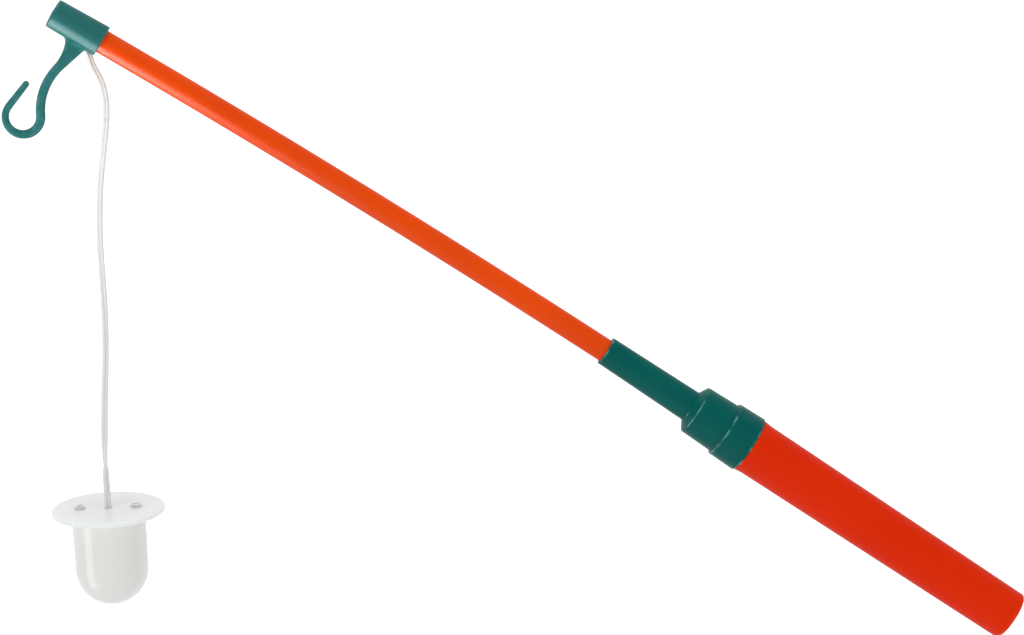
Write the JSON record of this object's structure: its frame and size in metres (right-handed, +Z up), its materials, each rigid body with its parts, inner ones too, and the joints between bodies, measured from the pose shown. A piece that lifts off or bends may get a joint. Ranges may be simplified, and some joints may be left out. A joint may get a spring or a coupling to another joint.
{
  "type": "electric lantern stick",
  "caption": "Hand-held lantern stick: tapered battery handle, long tube, hooked head cap and a small cord-hung lamp with a round flange and opal dome.",
  "frame": {"origin": "middle of the handle, on its axis, where the hand holds it", "axes": "+Z up as held, the stick lies in the XZ plane with its hooked head up at -X and its tail down at +X, +Y away from the viewer of the front"},
  "size_m": [0.4491, 0.0499, 0.2828],
  "materials": {
    "teal_plastic": "moulded, semi-gloss",
    "tube_orange": "extruded, gloss",
    "handle_orange": "moulded, satin gloss",
    "flange_clear": "translucent white, gloss",
    "lens_opal": "opal white, gloss",
    "cord_white": "soft PVC, satin",
    "lead_red": "soft PVC",
    "lead_black": "soft PVC",
    "screw_steel": "zinc plated",
    "spring_steel": "nickel plated wire",
    "contact_brass": "bare sheet",
    "board": "phenolic board",
    "cell_can": "plain sleeved cell",
    "holder_plastic": "moulded",
    "bulb_cap_metal": "nickelled brass",
    "bulb_glass": "clear",
    "bulb_black": "black glass",
    "filament": "tungsten wire"
  },
  "bodies": {
    "handle": {"handle_shell": "handle_orange", "return_strip": "contact_brass", "tail_spring": "spring_steel"},
    "cells": {"battery_front": "cell_can", "battery_middle": "cell_can", "battery_rear": "cell_can"},
    "wand": {"adapter": "teal_plastic", "contact_board": "board", "centre_contact": "contact_brass", "ring_contact": "contact_brass", "contact_rivets": "contact_brass", "live_lead": "lead_red", "return_lead": "lead_black", "wand_tube": "tube_orange", "head_cap": "teal_plastic", "cord_root": "cord_white"},
    "cord_link": {"cord_link": "cord_white"},
    "pendant": {"lamp_cord": "cord_white", "lamp_flange": "flange_clear", "flange_screws": "screw_steel", "lamp_lens": "lens_opal", "bulb_holder": "holder_plastic", "cord_knot": "cord_white", "lamp_tails": "lead_black", "holder_tip_contact": "contact_brass", "holder_side_contact": "contact_brass", "bulb_cap": "bulb_cap_metal", "bulb_insulator": "bulb_black", "bulb_tip": "bulb_cap_metal", "bulb_glass": "bulb_glass", "bulb_supports": "filament", "bulb_filament": "filament"}
  },
  "joints": [
    {"name": "cell_travel", "type": "slide", "parent": "handle", "child": "cells", "axis": [-0.8324, 0, 0.5541], "range_m": [0, 0.00901]},
    {"name": "wand_turn", "type": "hinge", "parent": "cells", "child": "wand", "pos_m": [0, 0, 0], "axis": [-0.8324, 0, 0.5541], "range_deg": [0, 1080]},
    {"name": "pendant_swing", "type": "hinge", "parent": "wand", "child": "cord_link", "pos_m": [-0.3398, 0, 0.1927], "axis": [0, 1, 0], "range_deg": [-45, 45]},
    {"name": "pendant_sway", "type": "hinge", "parent": "cord_link", "child": "pendant", "pos_m": [-0.33985, 0, 0.1795], "axis": [1, 0, 0], "range_deg": [-60, 60]}
  ],
  "couplings": [
    {"joint": "cell_travel", "follows": "wand_turn", "m_per_rad": 0.00047746}
  ]
}
